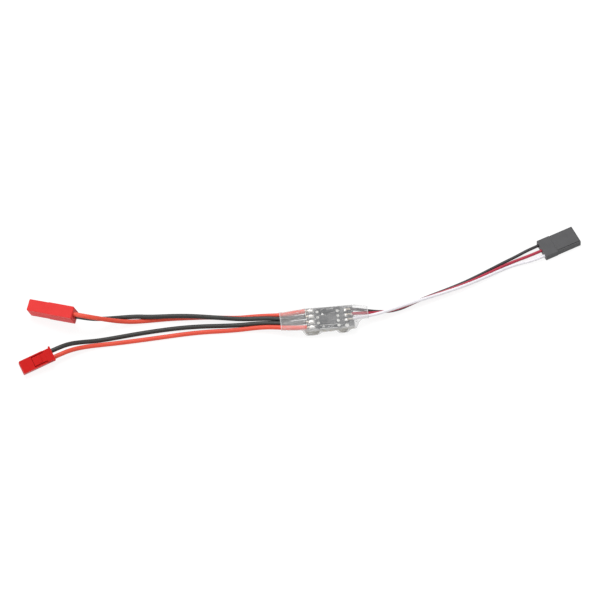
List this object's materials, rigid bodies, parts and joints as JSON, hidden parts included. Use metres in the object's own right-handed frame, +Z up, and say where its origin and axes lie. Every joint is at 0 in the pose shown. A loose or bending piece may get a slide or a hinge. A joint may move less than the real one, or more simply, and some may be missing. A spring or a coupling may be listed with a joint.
{
  "type": "electronic speed controller",
  "caption": "Small brushed motor speed controller in clear heat-shrink, with red battery and motor plugs on silicone wires and a ribbon lead to a receiver plug.",
  "frame": {"origin": "middle of the underside of the heat-shrink sleeve, on the table", "axes": "+X along the circuit board towards the receiver lead, +Y across the board, +Z up out of the table"},
  "size_m": [0.2126, 0.0442, 0.0105],
  "materials": {
    "board_black": "satin solder mask",
    "copper_tinned": "tinned pads and vias",
    "solder": "shiny solder",
    "legend_white": "printed ink",
    "sleeve_clear": "clear hazy heat-shrink film",
    "silicone_red": "satin silicone",
    "silicone_black": "satin silicone",
    "core_black": "satin PVC",
    "core_red": "satin PVC",
    "core_white": "satin PVC",
    "copper_strands": "tinned strands",
    "contact_metal": "plated contact",
    "plug_red_battery": "moulded nylon",
    "plug_red_motor": "moulded nylon",
    "plug_black": "moulded nylon",
    "chip_black": "moulded epoxy",
    "lead_tin": "tinned leads",
    "capacitor_tan": "moulded capacitor body",
    "ceramic_tan": "ceramic body",
    "resistor_black": "resistor body"
  },
  "bodies": {
    "controller": {"circuit_board": "board_black", "plated_vias": "copper_tinned", "power_pads": "copper_tinned", "power_wire_tails": "copper_strands", "power_solder_joints": "solder", "servo_pads": "copper_tinned", "servo_wire_tails": "copper_strands", "servo_solder_joints": "solder", "board_legend": "legend_white", "input_capacitor": "capacitor_tan", "filter_capacitor": "capacitor_tan", "capacitor_terminals": "lead_tin", "bridge_chip_1": "chip_black", "bridge_leads_1": "lead_tin", "bridge_chip_2": "chip_black", "bridge_leads_2": "lead_tin", "control_chip": "chip_black", "control_chip_pads": "lead_tin", "regulator": "chip_black", "regulator_leads": "lead_tin", "chip_resistors": "resistor_black", "chip_capacitors": "ceramic_tan", "chip_part_ends": "lead_tin", "heat_shrink_sleeve": "sleeve_clear", "battery_wire_red": "silicone_red", "battery_wire_black": "silicone_black", "motor_wire_black": "silicone_black", "motor_wire_red": "silicone_red", "servo_wire_black": "core_black", "servo_wire_red": "core_red", "servo_wire_white": "core_white", "battery_plug_housing": "plug_red_battery", "battery_plug_pins": "contact_metal", "motor_plug_housing": "plug_red_motor", "motor_plug_contacts": "contact_metal", "servo_plug_housing": "plug_black", "servo_plug_contacts": "contact_metal"},
    "motor_plug_latch": {"motor_plug_latch": "plug_red_motor"},
    "servo_plug_finger_1": {"servo_plug_finger_1": "plug_black"},
    "servo_plug_finger_2": {"servo_plug_finger_2": "plug_black"},
    "servo_plug_finger_3": {"servo_plug_finger_3": "plug_black"}
  },
  "joints": [
    {"name": "motor_plug_latch_press", "type": "hinge", "parent": "controller", "child": "motor_plug_latch", "pos_m": [-0.10892, -0.00845, 0.00458], "axis": [-0.3466, 0.8615, 0.371], "range_deg": [0, 4.5], "stiffness_Nm_per_rad": 0.02},
    {"name": "servo_plug_finger_1_lift", "type": "hinge", "parent": "controller", "child": "servo_plug_finger_1", "pos_m": [0.08756, 0.0276, 0.00025], "axis": [-0.3649, 0.9311, 0], "range_deg": [0, 6], "stiffness_Nm_per_rad": 0.01},
    {"name": "servo_plug_finger_2_lift", "type": "hinge", "parent": "controller", "child": "servo_plug_finger_2", "pos_m": [0.08849, 0.02523, 0.00025], "axis": [-0.3649, 0.9311, 0], "range_deg": [0, 6], "stiffness_Nm_per_rad": 0.01},
    {"name": "servo_plug_finger_3_lift", "type": "hinge", "parent": "controller", "child": "servo_plug_finger_3", "pos_m": [0.08941, 0.02286, 0.00025], "axis": [-0.3649, 0.9311, 0], "range_deg": [0, 6], "stiffness_Nm_per_rad": 0.01}
  ]
}
